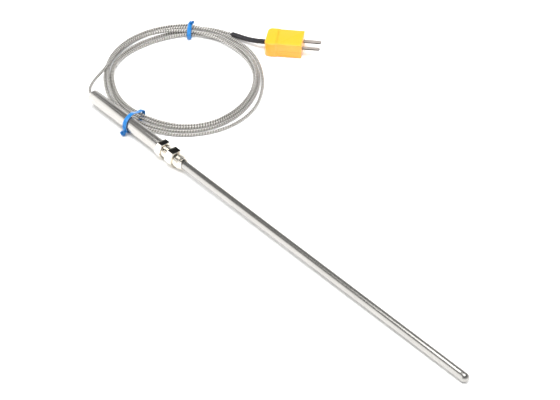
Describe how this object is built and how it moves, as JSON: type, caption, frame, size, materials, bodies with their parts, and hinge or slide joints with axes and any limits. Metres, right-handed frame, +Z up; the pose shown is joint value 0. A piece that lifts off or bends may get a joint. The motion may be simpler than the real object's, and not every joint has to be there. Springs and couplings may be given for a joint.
{
  "type": "thermocouple",
  "caption": "Sheathed type K thermocouple probe with a sliding compression fitting, a steel-braided lead tied in a loose coil, and a yellow miniature flat-blade plug.",
  "frame": {"origin": "on the resting plane under the middle of the probe, halfway from the rear of the transition tube to the tip", "axes": "+X along the probe from its cable end to its tip, +Z up from the resting plane, +Y towards the coiled lead"},
  "size_m": [0.3583, 0.1527, 0.0106],
  "materials": {
    "sheath_steel": "drawn and polished stainless steel",
    "tube_steel": "turned and polished stainless steel",
    "fitting_steel": "turned, polished bright",
    "steel_braid": "braided stainless wire",
    "magnesia": "packed powder",
    "chromel": "drawn alloy wire",
    "alumel": "drawn alloy wire",
    "splice_brass": "tinned crimp",
    "insulation_yellow": "glass-fibre sleeve",
    "insulation_red": "glass-fibre sleeve",
    "potting_compound": "cured epoxy",
    "heat_shrink_black": "satin",
    "tie_blue": "plastic-coated wire",
    "plug_yellow": "moulded, satin",
    "blade_alloy": "oxidised alloy",
    "screw_steel": "plated"
  },
  "bodies": {
    "probe": {"sheath_tube": "sheath_steel", "sheath_end_cap": "sheath_steel", "magnesia_fill": "magnesia", "thermo_wire_positive": "chromel", "thermo_wire_negative": "alumel", "hot_junction_bead": "alumel", "transition_tube": "tube_steel", "front_bush": "tube_steel", "rear_bush": "tube_steel", "splice_positive": "splice_brass", "splice_negative": "splice_brass", "lead_conductor_positive": "chromel", "lead_conductor_negative": "alumel", "insulation_positive": "insulation_yellow", "insulation_negative": "insulation_red", "potting": "potting_compound", "lead_cable": "steel_braid", "cable_coil": "steel_braid", "tail_cable": "steel_braid", "heat_shrink": "heat_shrink_black", "tie_on_probe": "tie_blue", "tie_on_coil": "tie_blue", "plug_base": "plug_yellow", "plug_cover": "plug_yellow", "blade_positive": "blade_alloy", "blade_negative": "blade_alloy", "terminal_screws": "screw_steel", "terminal_washers": "screw_steel", "cover_screws": "screw_steel", "plug_core_positive": "chromel", "plug_core_negative": "alumel"},
    "back_ferrule": {"ferrule_back": "fitting_steel"},
    "nut": {"compression_nut": "fitting_steel"},
    "front_ferrule": {"ferrule_front": "fitting_steel"},
    "fitting": {"fitting_body": "fitting_steel"}
  },
  "joints": [
    {"name": "fitting_slide", "type": "slide", "parent": "probe", "child": "back_ferrule", "axis": [0.9999, 0, -0.0102], "range_m": [0, 0.19]},
    {"name": "nut_spin", "type": "hinge", "parent": "back_ferrule", "child": "nut", "pos_m": [-0.08805, 0, 0.00498], "axis": [0.9999, 0, -0.0102], "continuous": true},
    {"name": "body_travel", "type": "slide", "parent": "nut", "child": "front_ferrule", "axis": [0.9999, 0, -0.0102], "range_m": [0, 0.003]},
    {"name": "body_turn", "type": "hinge", "parent": "front_ferrule", "child": "fitting", "pos_m": [-0.07815, 0, 0.00488], "axis": [0.9999, 0, -0.0102], "range_deg": [0, 1081]}
  ],
  "couplings": [
    {"joint": "body_turn", "follows": "body_travel", "rad_per_m": 6283.2}
  ]
}
